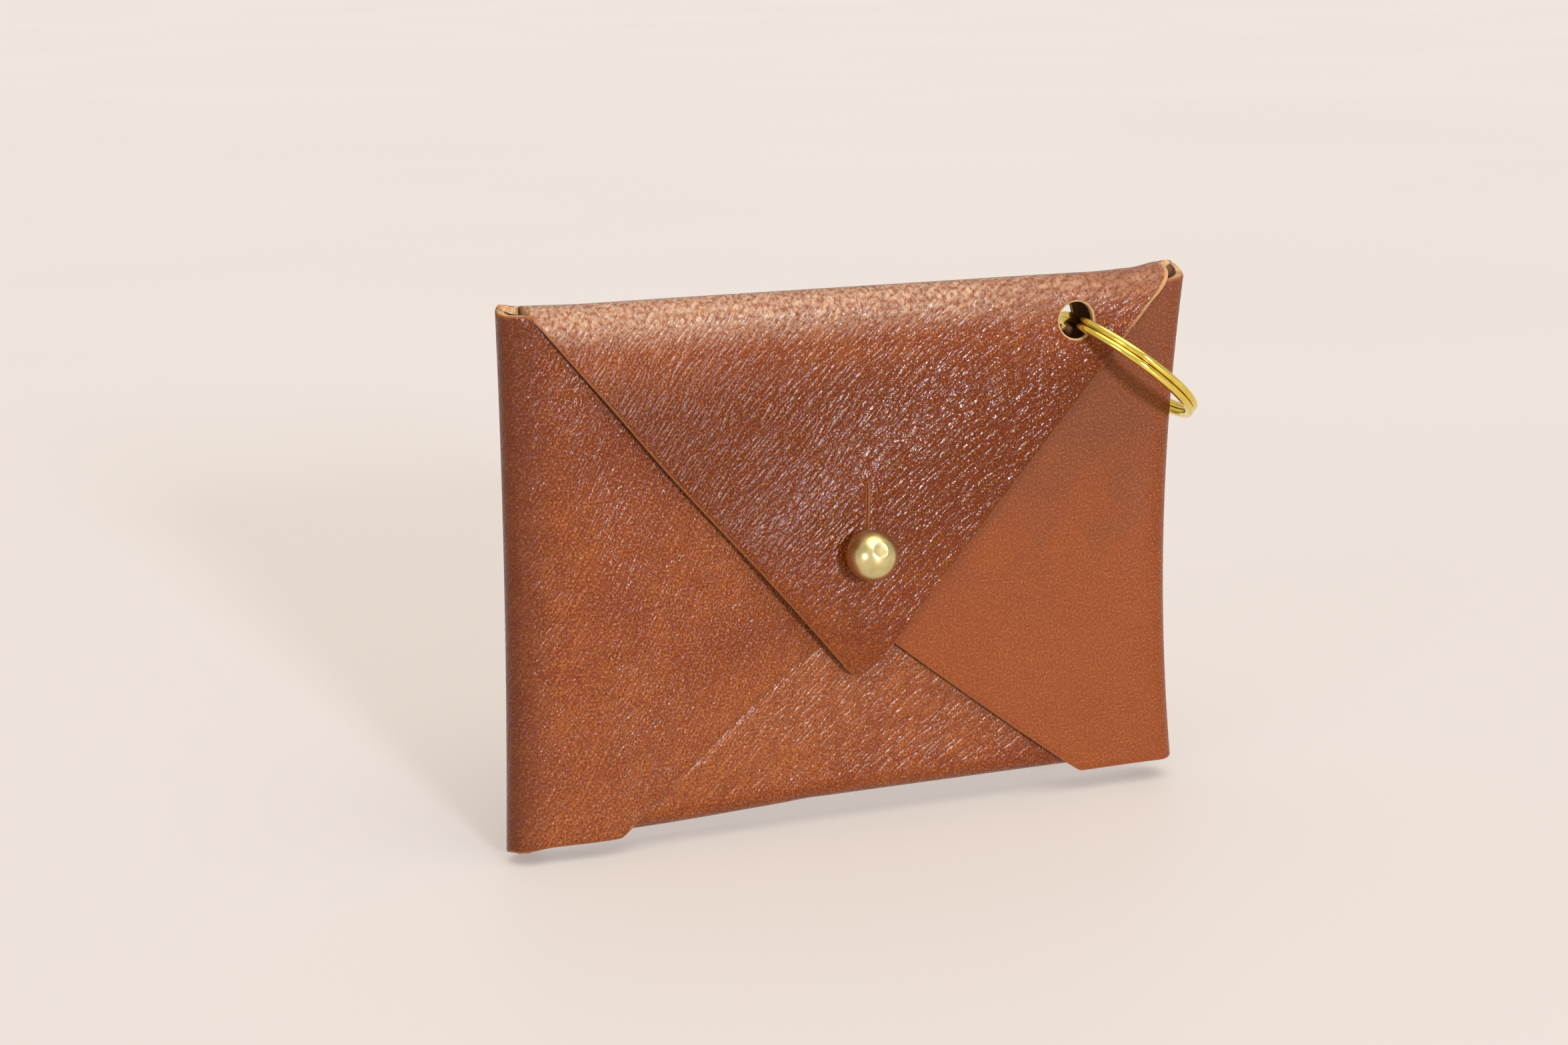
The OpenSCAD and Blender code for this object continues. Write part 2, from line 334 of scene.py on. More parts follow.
def unevenness(x, z):
    """Low waves of the leather, the same in every layer."""
    wave = np.sin(x / 9.1 + 1.3) * np.cos(z / 12.7 + 0.4) + 0.6 * np.sin(x / 5.3 - z / 7.9)
    return 0.06 * wave


def stud_pull(x, z):
    """The stud leans upwards, and takes the leather round it along."""
    reach = np.hypot(x - STUD.x, z - STUD.z)
    return math.tan(math.radians(13)) * (z - STUD.z) * (1 - smooth(3, 10, reach))


def left_level():
    """Outer face of the left flap, with the long soft dent beside its fold."""
    level = LEFT_FRONT + 0.55 * smooth(-49, 0, MESH_X)
    ridge = -47.5 + 6.5 * smooth(62, 36, MESH_Z) - 2.5 * smooth(16, 2, MESH_Z)
    level = level - 0.42 * hump(MESH_X, ridge + 3, 4.5) * smooth(74, 60, MESH_Z) * smooth(-4, 4, MESH_Z)
    level = level + 0.16 * hump(MESH_X, -37.5, 3) * hump(MESH_Z, 55, 4)
    return level + unevenness(MESH_X, MESH_Z) + stud_pull(MESH_X, MESH_Z)


def right_level():
    level = RIGHT_FRONT - 0.05 * smooth(49, 0, MESH_X)
    level = level + 0.22 * hump(MESH_X, 42, 7) * hump(MESH_Z, 34, 16)
    return level + unevenness(MESH_X, MESH_Z) + stud_pull(MESH_X, MESH_Z)


def mask_of(edge_path, start):
    """1 where a side flap lies on the front. start closes the path on the fold's side."""
    path = rounded([(start, 78), *edge_path, (start, 2.4)], 1.0)
    return inside(path, MESH_X, MESH_Z).astype(float)


LEFT_MASK, RIGHT_MASK = mask_of(LEFT_EDGE_PATH, -50), mask_of(RIGHT_EDGE_PATH, 50)
LEFT_LEVEL, RIGHT_LEVEL = left_level(), right_level()
TOUCH = 0.03                      # gap between layers that lie on each other


def bottom_level():
    """Outer face of the bottom flap: free in the middle, pressed in under the side flaps."""
    free = LEFT_LEVEL + 0.17 + 0.3 * smooth(14, 4, MESH_Z)
    under_left = LEFT_LEVEL + LEATHER + TOUCH
    pressed = smooth(0.35, 0.95, blurred(LEFT_MASK, 0.6))
    level = free + (under_left - free) * pressed
    return np.maximum(level, np.where(RIGHT_MASK > 0, RIGHT_LEVEL + LEATHER + 0.1, -9))


def top_level():
    """Outer face of the top flap, draped over everything under it."""
    rest = 3.2 - LEATHER - TOUCH + 0 * MESH_X
    under = np.maximum(rest, np.where(LEFT_MASK > 0, -LEFT_LEVEL, 0))
    under = np.maximum(under, np.where(RIGHT_MASK > 0, -RIGHT_LEVEL, 0))
    close = blurred(widened(under, 3.0), 1.6)
    slack = blurred(widened(under, 7.0), 4.0)
    return -(0.4 * close + 0.6 * slack + LEATHER + TOUCH)


BOTTOM_LEVEL = bottom_level()
TOP_LEVEL = top_level()


def back_level(x, z):
    """Outer face of the back panel: faint print of the cards' edges."""
    print_ = hump(z, 10, 3) + hump(z, 66, 3)
    return BACK_FACE + (0.6 * unevenness(x, z) + 0.05 * print_) * smooth(48, 40, np.abs(x))


# ---------------------------------------------------------------- from the flat blank to the folded one
def side_wrap(u, v):
    """Back panel, side folds and side flaps: outer face."""
    left_c, right_c = left_centre(v), right_centre(v)
    x, y = u.copy(), back_level(u, v)
    for mark, centre, radius, mid, level in ((-1, left_c, LEFT_R, LEFT_MID, LEFT_LEVEL),
                                             (1, right_c, RIGHT_R, RIGHT_MID, RIGHT_LEVEL)):
        along = mark * (u - centre)
        turn = np.clip(along / mid, 0, math.pi)
        on = along > 0
        x = np.where(on, centre + mark * radius * np.sin(turn), x)
        y = np.where(on, BACK_FACE - radius + radius * np.cos(turn), y)
        past = along - math.pi * mid
        front = past > 0
        x = np.where(front, centre - mark * past, x)
        flat_y = BACK_FACE - 2 * radius
        settle = smooth(0, 5, past)
        y = np.where(front, flat_y + (looked_up(level, x, v) - flat_y) * settle, y)
    # at the top corners the back half of each side fold bends forward with the top fold
    radius, centre = top_radius(u), top_centre(u)
    over = np.clip((v - centre) / (radius - LEATHER / 2), 0, 2.3)
    share = smooth(LEFT_STRIP - 3.0, LEFT_STRIP - 0.2, u) * smooth(RIGHT_STRIP + 4.0, RIGHT_STRIP + 0.3, u)
    share = np.where(v > centre, share, 0)
    y = y + radius * (np.cos(over) - 1) * share
    z = v + (centre + radius * np.sin(over) - v) * share
    return np.stack([x, y, z], 1)


def bottom_wrap(u, v):
    """Bottom fold and bottom flap: outer face."""
    radius, centre = bottom_radius(u), bottom_centre(u)
    mid = radius - LEATHER / 2
    along = centre - v
    turn = np.clip(along / mid, 0, math.pi)
    y = np.where(along > 0, BACK_FACE - radius + radius * np.cos(turn), back_level(u, v))
    z = np.where(along > 0, centre - radius * np.sin(turn), v)
    past = along - math.pi * mid
    z = np.where(past > 0, centre + past, z)
    flat_y = BACK_FACE - 2 * radius
    level = flat_y + (looked_up(BOTTOM_LEVEL, u, z) - flat_y) * smooth(0, 6, past)
    return np.stack([u, np.where(past > 0, level, y), z], 1)


def body_surface(u, v):
    """Outer face of the blank without its top strip: the bottom strip folds up, the rest folds sideways."""
    strip = (v < 8.2) & (u > -46.45) & (u < 47.05)
    wrapped = side_wrap(u, v)
    return np.where(strip[:, None], bottom_wrap(u, v), wrapped)


def top_surface(u, v):
    """Outer face of the top strip: back yoke, top fold and pointed flap."""
    radius, centre = top_radius(u), top_centre(u)
    mid = radius - LEATHER / 2
    along = v - centre
    turn = np.clip(along / mid, 0, math.pi)
    y = np.where(along > 0, BACK_FACE - radius + radius * np.cos(turn), back_level(u, v))
    z = np.where(along > 0, centre + radius * np.sin(turn), v)
    past = along - math.pi * mid
    z = np.where(past > 0, centre - past, z)
    flat_y = BACK_FACE - 2 * radius
    settled = looked_up(TOP_LEVEL, u, z)
    level = flat_y + (settled - flat_y) * (0.35 * smooth(0, 5, past) + 0.65 * smooth(0, 13, past))
    level = level - flap_lift(u, z)
    folded = np.stack([u, np.where(past > 0, level, y), z], 1)
    share = smooth(SEAM_Z, SLIT_Z + 1, v)[:, None]
    return side_wrap(u, v) * (1 - share) + folded * share


def flap_lift(x, z):
    """How far the flap stands off what it lies on: at its left edge, its tip and the slit's lips."""
    from_left = (x - left_edge_x(z)) * math.cos(math.atan(1 / LEFT_SLOPE))
    edge = 0.3 * hump(np.maximum(from_left, 0), 0, 3.5) * smooth(74, 62, z)
    tip = 0.25 * hump(z, TIP_Z, 9)
    lips = 0.34 * hump(np.abs(x - slit_x(z)), 0, 1.5) * smooth(SLIT_TOP + 2.5, SLIT_TOP - 4, z)
    lips = lips * smooth(BUTTON[1] - 1, BUTTON[1] + 1, z)
    return edge + tip + lips


# ---------------------------------------------------------------- leather as a closed mesh
def rows_inside(loops, step):
    """Points of an even triangular net inside the loops, by the even-odd rule."""
    a = np.concatenate([np.array(loop) for loop in loops])
    b = np.concatenate([np.roll(np.array(loop), -1, 0) for loop in loops])
    low, high = a.min(0), a.max(0)
    rise = step * math.sqrt(3) / 2
    found = []
    for row in range(int((high[1] - low[1]) / rise) + 1):
        v = low[1] + (row + 0.37) * rise
        crossing = (a[:, 1] > v) != (b[:, 1] > v)
        p, q = a[crossing], b[crossing]
        if not len(p):
            continue
        cuts = np.sort(p[:, 0] + (v - p[:, 1]) * (q[:, 0] - p[:, 0]) / (q[:, 1] - p[:, 1]))
        start = low[0] + (row % 2) * step / 2
        us = np.arange(start, high[0], step)
        us = us[np.searchsorted(cuts, us) % 2 == 1]
        found.append(np.stack([us, np.full(len(us), v)], 1))
    return np.concatenate(found)


def tree_of(paths, spacing=0.08):
    """A search tree over closely spaced points of open paths."""
    dense = []
    for path in paths:
        p = np.array(path)
        for s, e in zip(p[:-1], p[1:]):
            n = max(1, int(np.hypot(*(e - s)) / spacing))
            dense += [s + (e - s) * k / n for k in range(n)]
        dense.append(p[-1])
    tree = kdtree.KDTree(len(dense))
    for k, point in enumerate(dense):
        tree.insert((point[0], point[1], 0), k)
    tree.balance()
    return tree


def distances(tree, points):
    return np.array([tree.find((p[0], p[1], 0))[2] for p in points])


def net(cut, seam, holes):
    """Triangles over a flat outline. cut is its open cut edge, seam the rest of it, holes are closed.
    Returns points, triangles and each point's distance from the nearest cut edge."""
    outline = cut[:-1] + seam[:-1]
    loops = [outline, *holes]
    cut_tree = tree_of([cut, *[h + h[:1] for h in holes]])
    any_tree = tree_of([outline + outline[:1], *[h + h[:1] for h in holes]])
    points = [p for loop in loops for p in loop]
    edges, start = [], 0
    for loop in loops:
        edges += [(start + k, start + (k + 1) % len(loop)) for k in range(len(loop))]
        start += len(loop)
    rim = []
    for path, shut in [(cut, False), *[(h, True) for h in holes]]:
        p = np.array(path)
        ahead = np.roll(p, -1, 0) - np.roll(p, 1, 0)
        if not shut:
            ahead[0], ahead[-1] = p[1] - p[0], p[-1] - p[-2]
        ahead /= np.maximum(np.hypot(ahead[:, 0], ahead[:, 1]), 1e-9)[:, None]
        inward = np.stack([-ahead[:, 1], ahead[:, 0]], 1)
        if shut:
            area = np.sum(p[:, 0] * np.roll(p[:, 1], -1) - np.roll(p[:, 0], -1) * p[:, 1])
            inward *= -np.sign(area)
        for offset in RIM_ROWS:
            ring = p + inward * offset
            rim.append(ring[distances(any_tree, ring) > 0.92 * offset])
    rim = np.concatenate(rim)
    inner = rows_inside(loops, CELL)
    inner = inner[distances(any_tree, inner) > RIM_ROWS[1] + 0.45 * CELL]
    every = points + [tuple(p) for p in rim] + [tuple(p) for p in inner]
    made = delaunay_2d_cdt([Vector(p) for p in every], edges, [], 1, 1e-5)
    flat = np.array([tuple(p) for p in made[0]])
    triangles = np.array(made[2])
    middles = flat[triangles].mean(1)
    keep = np.ones(len(triangles), bool)
    for hole in holes:
        keep &= ~inside(hole, middles[:, 0], middles[:, 1])
    return flat, triangles[keep], distances(cut_tree, flat)


def leather_mesh(name, surface, cut, seam, holes, materials):
    """A closed sheet of leather: grain side, flesh side and the cut edge between them."""
    flat, triangles, from_edge = net(cut, seam, holes)
    u, v = flat[:, 0], flat[:, 1]
    h = 0.12
    grain = surface(u, v)
    across = surface(u + h, v) - surface(u - h, v)
    upward = surface(u, v + h) - surface(u, v - h)
    normal = -np.cross(across, upward)
    normal /= np.maximum(np.linalg.norm(normal, axis=1), 1e-9)[:, None]
    slit_side = (np.abs(np.abs(u) - RIGHT_STRIP) < 0.6) & (v > SLIT_Z - 1) & (v < 80.9)
    from_edge = np.where(slit_side, 5.0, from_edge)
    drop = ARRIS * np.clip(1 - from_edge / RIM_ROWS[1], 0, 1) ** 2
    flesh = grain - normal * LEATHER
    grain = grain - normal * drop[:, None]
    count = len(flat)
    sides = {}
    for a, b, c in triangles:
        for e in ((a, b), (b, c), (c, a)):
            sides[e] = True
    rim = [e for e in sides if (e[1], e[0]) not in sides]
    faces = [(a, c, b) for a, b, c in triangles]
    faces += [(a + count, b + count, c + count) for a, b, c in triangles]
    faces += [(a, b, b + count, a + count) for a, b in rim]
    mesh = bpy.data.meshes.new(name)
    mesh.from_pydata(placed(np.concatenate([grain, flesh])).tolist(), [], [tuple(map(int, f)) for f in faces])
    kinds = [0] * len(triangles) + [1] * len(triangles) + [2] * len(rim)
    mesh.polygons.foreach_set("material_index", kinds)
    mesh.polygons.foreach_set("use_smooth", [True] * len(kinds))
    rims = {frozenset(map(int, e)) for e in rim}
    rims |= {frozenset(int(k) + count for k in e) for e in rim}
    sharp = [frozenset(e.vertices) in rims for e in mesh.edges]
    mesh.edges.foreach_set("use_edge_sharp", sharp)
    cut_map = mesh.attributes.new("cut_map", "FLOAT_VECTOR", "POINT")
    values = np.concatenate([np.stack([u, v, from_edge], 1), np.stack([u, v, -1 + 0 * u], 1)])
    cut_map.data.foreach_set("vector", values.astype(np.float32).ravel())
    for material in materials:
        mesh.materials.append(material)
    mesh.validate()
    piece = bpy.data.objects.new(name, mesh)
    bpy.context.scene.collection.objects.link(piece)
    outline = np.array(cut[:-1] + seam[:-1])
    ahead = np.roll(outline, -1, 0)
    area = 0.5 * abs(np.sum(outline[:, 0] * ahead[:, 1] - ahead[:, 0] * outline[:, 1]))
    size = outline.max(0) - outline.min(0)
    return piece, tuple(float(s) * MM for s in size), float(area) * MM * MM


# ---------------------------------------------------------------- turned and wound metal
def turned(name, profile, base, axis, material, steps=72):
    """A piece turned about an axis. profile is a list of (height along the axis, radius)."""
    along = Vector(axis).normalized()
    side = along.orthogonal().normalized()
    other = along.cross(side)
    points, faces = [], []
    for height, radius in profile:
        for k in range(steps):
            a = 2 * math.pi * k / steps
            points.append(Vector(base) + along * height + (side * math.cos(a) + other * math.sin(a)) * radius)
    for row in range(len(profile) - 1):
        for k in range(steps):
            n = (k + 1) % steps
            faces.append((row * steps + k, row * steps + n, (row + 1) * steps + n, (row + 1) * steps + k))
    faces.append(tuple(reversed(range(steps))))
    faces.append(tuple(range((len(profile) - 1) * steps, len(profile) * steps)))
    return solid(name, [tuple(p) for p in points], faces, material)


def solid(name, points, faces, material, sharp_deg=40):
    """A mesh piece from the drawing's points, smooth but for its sharp edges."""
    mesh = bpy.data.meshes.new(name)
    mesh.from_pydata(placed(points).tolist(), [], faces)
    shape = bmesh.new()
    shape.from_mesh(mesh)
    bmesh.ops.recalc_face_normals(shape, faces=shape.faces)
    shape.to_mesh(mesh)
    shape.free()
    mesh.polygons.foreach_set("use_smooth", [True] * len(faces))
    mesh.materials.append(material)
    mesh.set_sharp_from_angle(angle=math.radians(sharp_deg))
    piece = bpy.data.objects.new(name, mesh)
    bpy.context.scene.collection.objects.link(piece)
    return piece


def arc(centre, radius, start_deg, end_deg, count):
    """Points (height, radius) on a circle about centre, for a turned profile."""
    angles = [math.radians(start_deg + (end_deg - start_deg) * k / count) for k in range(count + 1)]
    return [(centre[0] + radius * math.sin(a), centre[1] + radius * math.cos(a)) for a in angles]


BALL_R = 3.7
LEAN = math.radians(24)           # the stud leans upwards
STUD_AXIS = Vector((0, -math.cos(LEAN), math.sin(LEAN)))
BALL = Vector((STUD.x - 0.2, -9.3, STUD.z + 1.1))
NECK_R, POLE_R, FLANGE_R = 1.75, 1.1, 3.4


def stud_head(material):
    """Flange, neck and ball with a small turned flat on its front."""
    base_h = -(BALL.y + 3.95) / STUD_AXIS.y            # from the ball's centre back to the right flap
    foot = [(base_h, 0.05), (base_h, FLANGE_R - 0.1), (base_h + 0.12, FLANGE_R),
            (base_h + 0.55, FLANGE_R), (base_h + 0.7, FLANGE_R - 0.15), (base_h + 0.75, NECK_R + 0.5)]
    neck_angle = -90 + math.degrees(math.asin(NECK_R / BALL_R))
    neck = arc((base_h + 1.25, NECK_R + 0.5), -0.5, 90, 0, 6)
    pole_angle = 90 - math.degrees(math.asin(POLE_R / BALL_R))
    ball = arc((0, 0), BALL_R, neck_angle, pole_angle, 56)
    flat_h = math.sqrt(BALL_R ** 2 - POLE_R ** 2)
    pole = [(flat_h - 0.03, POLE_R - 0.05), (flat_h - 0.04, POLE_R - 0.1), (flat_h - 0.04, 0.05)]
    return turned("stud_ball", foot + neck + ball + pole, BALL, STUD_AXIS, material)


def stud_screw(material):
    """Slotted flat head in the pocket, and the shank through the flaps."""
    head_r, head_t, length, slot_half, slot_deep = 4.0, 0.7, 4.1, 0.5, 0.4
    middle = BALL - STUD_AXIS * ((BALL.y + 0.35) / STUD_AXIS.y)
    profile = [(0, 0.05), (0, head_r - 0.2), (0.15, head_r), (head_t, head_r), (head_t, SHANK_R),
               (length, SHANK_R), (length, 0.05)]
    screw = turned("stud_screw_head", profile, middle, STUD_AXIS, material)
    up = STUD_AXIS.cross(Vector((1, 0, 0))).normalized()
    corners = [middle + Vector((1, 0, 0)) * a + up * b + STUD_AXIS * c
               for a in (-head_r - 1, head_r + 1) for b in (-slot_half, slot_half) for c in (-1, slot_deep)]
    quads = [(0, 1, 3, 2), (4, 6, 7, 5), (0, 4, 5, 1), (2, 3, 7, 6), (0, 2, 6, 4), (1, 5, 7, 3)]
    cutter = solid("slot_cutter", [tuple(c) for c in corners], quads, material)
    cut = screw.modifiers.new("slot", "BOOLEAN")
    cut.operation, cut.object, cut.solver = "DIFFERENCE", cutter, "EXACT"
    made = bpy.data.meshes.new_from_object(screw.evaluated_get(bpy.context.evaluated_depsgraph_get()))
    screw.modifiers.clear()
    screw.data = made
    bpy.data.objects.remove(cutter)
    return screw


def split_ring(material):
    """A flattened wire wound twice round, stepping from one turn to the other once."""
    wire_axial, wire_radial = 0.53, 0.60          # half sizes of the wire
    pitch = 2 * wire_axial + 0.02
    centre_r = RING_R - wire_radial
    outward = (RING - HOLE)
    outward.y = 0
    outward.normalize()
    forward = Vector((0, -1, 0))
    normal = forward.cross(outward)
    joggle, spread, gap = math.radians(205), math.radians(30), math.radians(2.5)
    sides, steps = 20, 400
    start, end = joggle + gap, joggle + 4 * math.pi - gap
    points, faces = [], []
    for k in range(steps + 1):
        a = start + (end - start) * k / steps
        t = (a - joggle - 2 * math.pi) / spread
        offset = pitch / 2 * math.tanh(1.6 * t)
        squeeze = min(1.0, 0.35 + 0.65 * math.sqrt(max(0.0, min(k, steps - k) / 6)))
        radial = outward * math.cos(a) + forward * math.sin(a)
        middle = RING + radial * centre_r + normal * offset
        for s in range(sides):
            b = 2 * math.pi * s / sides
            c, d = math.cos(b), math.sin(b)
            c, d = math.copysign(abs(c) ** 0.75, c), math.copysign(abs(d) ** 0.75, d)
            points.append(middle + (radial * c * wire_radial + normal * d * wire_axial) * squeeze)
    for k in range(steps):
        for s in range(sides):
            n = (s + 1) % sides
            faces.append((k * sides + s, k * sides + n, (k + 1) * sides + n, (k + 1) * sides + s))
    faces.append(tuple(reversed(range(sides))))
    faces.append(tuple(range(steps * sides, (steps + 1) * sides)))
    return solid("split_ring", [tuple(p) for p in points], faces, material, 60)


# ---------------------------------------------------------------- materials
class Nodes:
    """Short names for the shader nodes that the materials are made of."""

    def __init__(self, name):
        self.material = bpy.data.materials.new(name)
        self.material.use_nodes = True
        self.tree = self.material.node_tree
        self.shader = self.tree.nodes["Principled BSDF"]

    def make(self, kind, inputs=(), output=0, **settings):
        made = self.tree.nodes.new(kind)
        for key, value in settings.items():
            setattr(made, key, value)
        for key, value in dict(inputs).items():
            self.give(made.inputs[key], value)
        return made.outputs[output]

    def give(self, socket, value):
        if isinstance(value, bpy.types.NodeSocket):
            self.tree.links.new(value, socket)
        else:
            socket.default_value = value

    def set(self, **values):
        for key, value in values.items():
            self.give(self.shader.inputs[key.replace("_", " ")], value)

    def math(self, operation, a, b=0.0, clamp=False):
        return self.make("ShaderNodeMath", {0: a, 1: b}, operation=operation, use_clamp=clamp)

    def times(self, *values):
        product = values[0]
        for value in values[1:]:
            product = self.math("MULTIPLY", product, value)
        return product

    def total(self, *values):
        found = values[0]
        for value in values[1:]:
            found = self.math("ADD", found, value)
        return found

    def noise(self, vector, scale, detail=2.0, roughness=0.5, output=0):
        return self.make("ShaderNodeTexNoise", {"Vector": vector, "Scale": scale, "Detail": detail,
                                                "Roughness": roughness}, output)

    def span(self, value, low, high, to_low=0.0, to_high=1.0, smooth_step=True):
        kind = "SMOOTHSTEP" if smooth_step else "LINEAR"
        return self.make("ShaderNodeMapRange", {"Value": value, "From Min": low, "From Max": high,
                                                "To Min": to_low, "To Max": to_high}, interpolation_type=kind)

    def between(self, value, start, full, fade, end):
        """1 from full to fade, and 0 before start and after end."""
        return self.times(self.span(value, start, full), self.span(value, end, fade))

    def mix(self, share, a, b):
        """Mixes two colours."""
        made = self.tree.nodes.new("ShaderNodeMix")
        made.data_type = "RGBA"
        for index, value in ((0, share), (6, a), (7, b)):
            self.give(made.inputs[index], value)
        return made.outputs[2]

    def layered(self, body, layers):
        """Lays each (share, colour) over the ones before."""
        for share, tint in layers:
            body = self.mix(share, body, tint)
        return body

    def scaled(self, vector, by):
        return self.make("ShaderNodeVectorMath", {0: vector, 1: by}, operation="MULTIPLY")

    def moved(self, vector, by, amount):
        """vector plus amount times (by - 0.5)."""
        centred = self.make("ShaderNodeVectorMath", {0: by, 1: (0.5, 0.5, 0.5)}, operation="SUBTRACT")
        shift = self.scaled(centred, (amount, amount, amount))
        return self.make("ShaderNodeVectorMath", {0: vector, 1: shift}, operation="ADD")

    def bump(self, height, depth_mm, strength=1.0, normal=None):
        inputs = {"Height": height, "Distance": depth_mm * MM, "Strength": strength}
        if normal is not None:
            inputs["Normal"] = normal
        return self.make("ShaderNodeBump", inputs)


def colour(red, green, blue):
    """A colour from its 0 to 255 display values."""
    def linear(c):
        c /= 255
        return c / 12.92 if c <= 0.04045 else ((c + 0.055) / 1.055) ** 2.4
    return (linear(red), linear(green), linear(blue), 1.0)


def cut_map(nodes):
    """The flat blank's coordinates in millimetres, and the distance from a cut edge."""
    found = nodes.make("ShaderNodeAttribute", output=1, attribute_name="cut_map")
    parts = nodes.tree.nodes.new("ShaderNodeSeparateXYZ")
    nodes.give(parts.inputs[0], found)
    flat = nodes.make("ShaderNodeCombineXYZ", {0: parts.outputs[0], 1: parts.outputs[1]})
    return flat, parts.outputs[0], parts.outputs[1], parts.outputs[2]


def grain_zones(n, flat, u, v):
    """How far a point belongs to each part of the flat blank that has its own look."""
    return SimpleNamespace(
        patch=n.noise(flat, 0.11, 2.0),
        right_flap=n.span(u, 49.0, 60.0),
        left_flap=n.span(u, -53.0, -58.0),
        left_fold=n.between(u, -47.5, -51.0, -55.0, -62.0),
        beside_left_fold=n.between(u, -56.0, -61.0, -66.0, -76.0),
        bottom_flap=n.span(v, 0.0, -6.0),
        top_bend=n.between(v, 78.0, 81.0, 82.5, 88.5),
        top_flap=n.times(n.span(v, 86.0, 97.0), n.span(v, 128.0, 112.0, 0.3, 1.0)),
        top_flap_tip=n.span(v, 105.0, 122.0),
        top_flap_right=n.times(n.span(u, 8.0, 26.0), n.span(v, 84.0, 88.0)),
        corner_edge=n.times(n.between(u, 39.0, 46.0, 49.2, 50.0), n.span(v, 79.0, 83.0)),
        ring_hole=n.times(n.between(u, 28.0, 29.0, 38.0, 39.0), n.between(v, 82.0, 83.0, 93.0, 94.0)))


def grain_relief(n, flat, u, v, zone):
    """Fine creases that run one way over the whole hide, with small domes between them.
    Returns the creases, how strong they are, and the height of it all."""
    wide = n.noise(flat, 0.06, 2.0, output=1)
    fine = n.noise(flat, 0.9, 2.0, output=1)
    # across is measured across the creases and along is measured along them
    across = n.math("SUBTRACT", n.math("SUBTRACT", n.times(u, u, 0.00665), v), n.times(u, 0.9))
    along = n.math("SUBTRACT", n.times(u, 0.65), n.times(v, 0.5))
    hide = n.make("ShaderNodeCombineXYZ", {0: n.times(along, 0.27), 1: n.times(across, 0.71)})
    hide = n.moved(n.moved(hide, wide, 2.0), fine, 0.3)
    crease = n.make("ShaderNodeTexVoronoi", {"Vector": hide, "Scale": 1.05}, feature="DISTANCE_TO_EDGE")
    crease_2 = n.make("ShaderNodeTexVoronoi", {"Vector": n.scaled(hide, (1.6, 1.0, 1.0)), "Scale": 2.0},
                      feature="DISTANCE_TO_EDGE")
    # straight flanks, so that a whole flank catches the light at once
    groove = n.total(n.span(crease, 0.0, 0.24, smooth_step=False),
                     n.times(n.span(crease_2, 0.0, 0.3, smooth_step=False), 0.3))
    pebble = n.make("ShaderNodeTexVoronoi", {"Vector": n.moved(flat, fine, 0.6), "Scale": 2.1}, feature="F1")
    domes = n.total(n.span(pebble, 0.8, 0.1), n.times(n.noise(flat, 4.0, 2.0), 0.5))
    strength = n.total(n.span(zone.patch, 0.38, 0.62, 0.5, 0.7), n.span(u, -30.0, 15.0, 0.0, 0.22),
                       n.times(n.math("MAXIMUM", zone.beside_left_fold, zone.top_flap_tip), 0.15),
                       n.times(zone.top_flap_right, 0.2))
    strength = n.times(strength, n.span(zone.right_flap, 0.0, 1.0, 1.0, 0.1))
    return groove, strength, n.total(n.times(groove, strength), n.times(domes, 0.22))


def grain_colour(n, flat, u, v, zone, groove, strength):
    """Colour of the grain side away from its edges."""
    soft = n.noise(flat, 0.35, 3.0)
    speck = n.noise(flat, 3.1, 2.0, 0.6)
    upper = n.span(n.total(v, n.span(zone.patch, 0.35, 0.65, -6.0, 6.0)), 28.0, 62.0)
    low_down = n.math("MAXIMUM", n.times(zone.left_flap, n.span(v, 30.0, 16.0, 0.0, 0.6)), zone.bottom_flap)
    # painted highlight: the top fold is painted pale and golden in a sparkling band, standing in for the top
    # light's glint on it
    painted_bend_highlight = n.times(zone.top_bend, n.span(n.noise(flat, 1.5, 3.0, 0.6), 0.36, 0.62, 0.2, 0.9))
    light_specks = n.span(zone.right_flap, 0.0, 1.0, 0.7, 0.33)
    dark_specks = n.times(light_specks, n.span(painted_bend_highlight, 0.0, 0.8, 1.0, 0.4))
    gold = n.mix(n.span(v, 86.0, 96.0), colour(178, 114, 64), colour(176, 98, 24))
    return n.layered(n.mix(n.span(soft, 0.3, 0.7), colour(116, 53, 15), colour(131, 67, 24)), [
        (n.span(n.noise(flat, 0.06, 2.0), 0.42, 0.68), colour(113, 50, 18)),
        (zone.top_flap, colour(86, 35, 4)),
        (n.times(zone.left_flap, n.span(v, 48.0, 64.0, 0.0, 0.5)), colour(92, 38, 14)),
        (n.times(low_down, 0.3), colour(150, 88, 48)),
        (n.times(zone.right_flap, 0.75), colour(126, 60, 21)),
        (n.times(zone.right_flap, upper, 0.65), colour(96, 53, 31)),
        # painted highlight: the pale band along the top fold
        (n.times(painted_bend_highlight, n.span(u, 44.0, 10.0, 0.35, 0.8)), colour(200, 174, 148)),
        (n.times(n.span(speck, 0.50, 0.70), light_specks), gold),
        (n.times(n.span(speck, 0.50, 0.32), dark_specks), colour(76, 25, 10)),
        # painted shade: the crease grooves are darkened where the creases are strong
        (n.times(n.span(groove, 1.1, 0.2), strength, 0.45), colour(92, 32, 16)),
        # painted shade: the left fold, which faces away from the lights, is darkened
        (n.times(zone.left_fold, 0.6), colour(74, 29, 14))])


